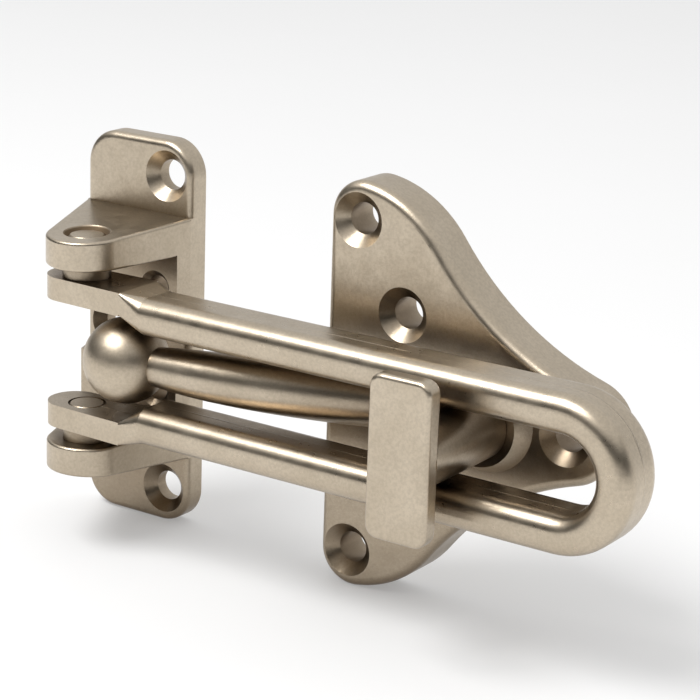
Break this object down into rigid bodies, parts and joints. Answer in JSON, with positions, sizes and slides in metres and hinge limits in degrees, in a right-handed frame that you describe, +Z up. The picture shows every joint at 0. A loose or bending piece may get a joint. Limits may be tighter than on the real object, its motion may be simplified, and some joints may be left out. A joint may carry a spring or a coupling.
{
  "type": "swing bar door guard",
  "caption": "Swing bar door guard: jamb bracket with a hinged U-shaped bar that closes over a ball arm and a quarter-turn T-knob on a door plate.",
  "frame": {"origin": "centre of the jamb bracket's back face", "axes": "+X along the closed bar towards the door plate, +Z up, +Y into the door and jamb, so the front faces -Y"},
  "size_m": [0.118, 0.0335, 0.0682],
  "materials": {
    "satin_nickel": "satin nickel plate"
  },
  "bodies": {
    "fixed_plates": {"jamb_bracket": "satin_nickel", "upper_hinge_pin": "satin_nickel", "lower_hinge_pin": "satin_nickel", "upper_spacer": "satin_nickel", "lower_spacer": "satin_nickel", "door_plate": "satin_nickel", "strike_ball": "satin_nickel", "ball_stud": "satin_nickel", "stop_pin": "satin_nickel"},
    "swing_bar": {"swing_bar": "satin_nickel"},
    "turn_knob": {"turn_knob": "satin_nickel", "stop_washer": "satin_nickel", "spring_washer": "satin_nickel", "knob_screw": "satin_nickel"}
  },
  "joints": [
    {"name": "bar_swing", "type": "hinge", "parent": "fixed_plates", "child": "swing_bar", "pos_m": [0.002, -0.0197, 0], "axis": [0, 0, -1], "range_deg": [0, 179]},
    {"name": "knob_turn", "type": "hinge", "parent": "fixed_plates", "child": "turn_knob", "pos_m": [0.073, 0, 0], "axis": [0, -1, 0], "range_deg": [0, 90]}
  ]
}
